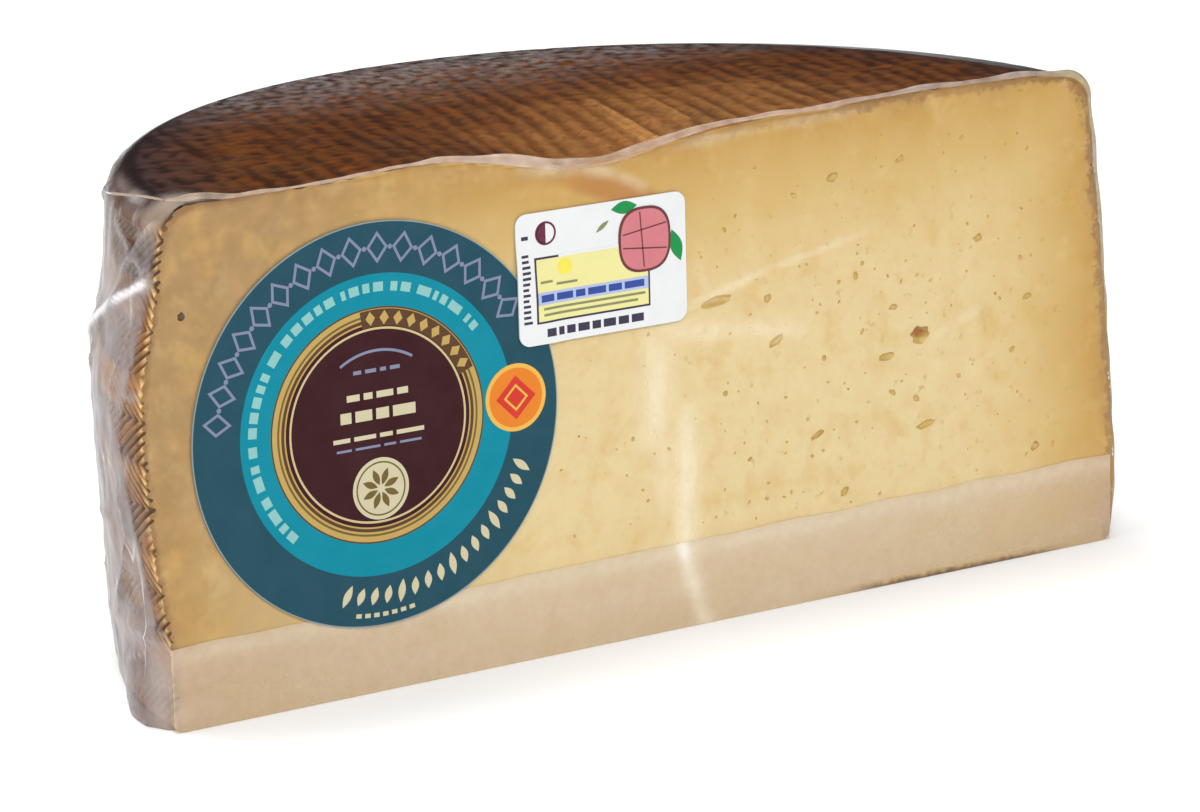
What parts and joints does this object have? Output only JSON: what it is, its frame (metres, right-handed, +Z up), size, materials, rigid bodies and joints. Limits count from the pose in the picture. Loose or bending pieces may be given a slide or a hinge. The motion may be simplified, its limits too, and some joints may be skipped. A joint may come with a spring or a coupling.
{
  "type": "manchego cheese half wheel",
  "caption": "Half wheel of aged sheep's milk cheese with a plaited rind, standing on its base, vacuum packed in clear film, with a round paper label and a small oblong one on the cut face.",
  "frame": {"origin": "middle of the bottom of the bounding box, on the surface that the cheese stands on", "axes": "+Z up along the wheel's axis, +X to the right along the cut face, -Y out of the cut face"},
  "size_m": [0.2116, 0.105, 0.0962],
  "materials": {
    "cheese": "ivory to straw coloured pressed paste with small eyes, and a ridged brown rind",
    "film": "clear shrunk film, glossy, whitish along its creases",
    "round_label": "coated paper printed in teal, turquoise, gold and dark brown rings",
    "grade_label": "white paper printed in green, rose, pale yellow and blue"
  },
  "bodies": {
    "root": {"wrapped_cheese": "cheese", "round_label": "round_label", "grade_label": "grade_label"}
  },
  "joints": []
}
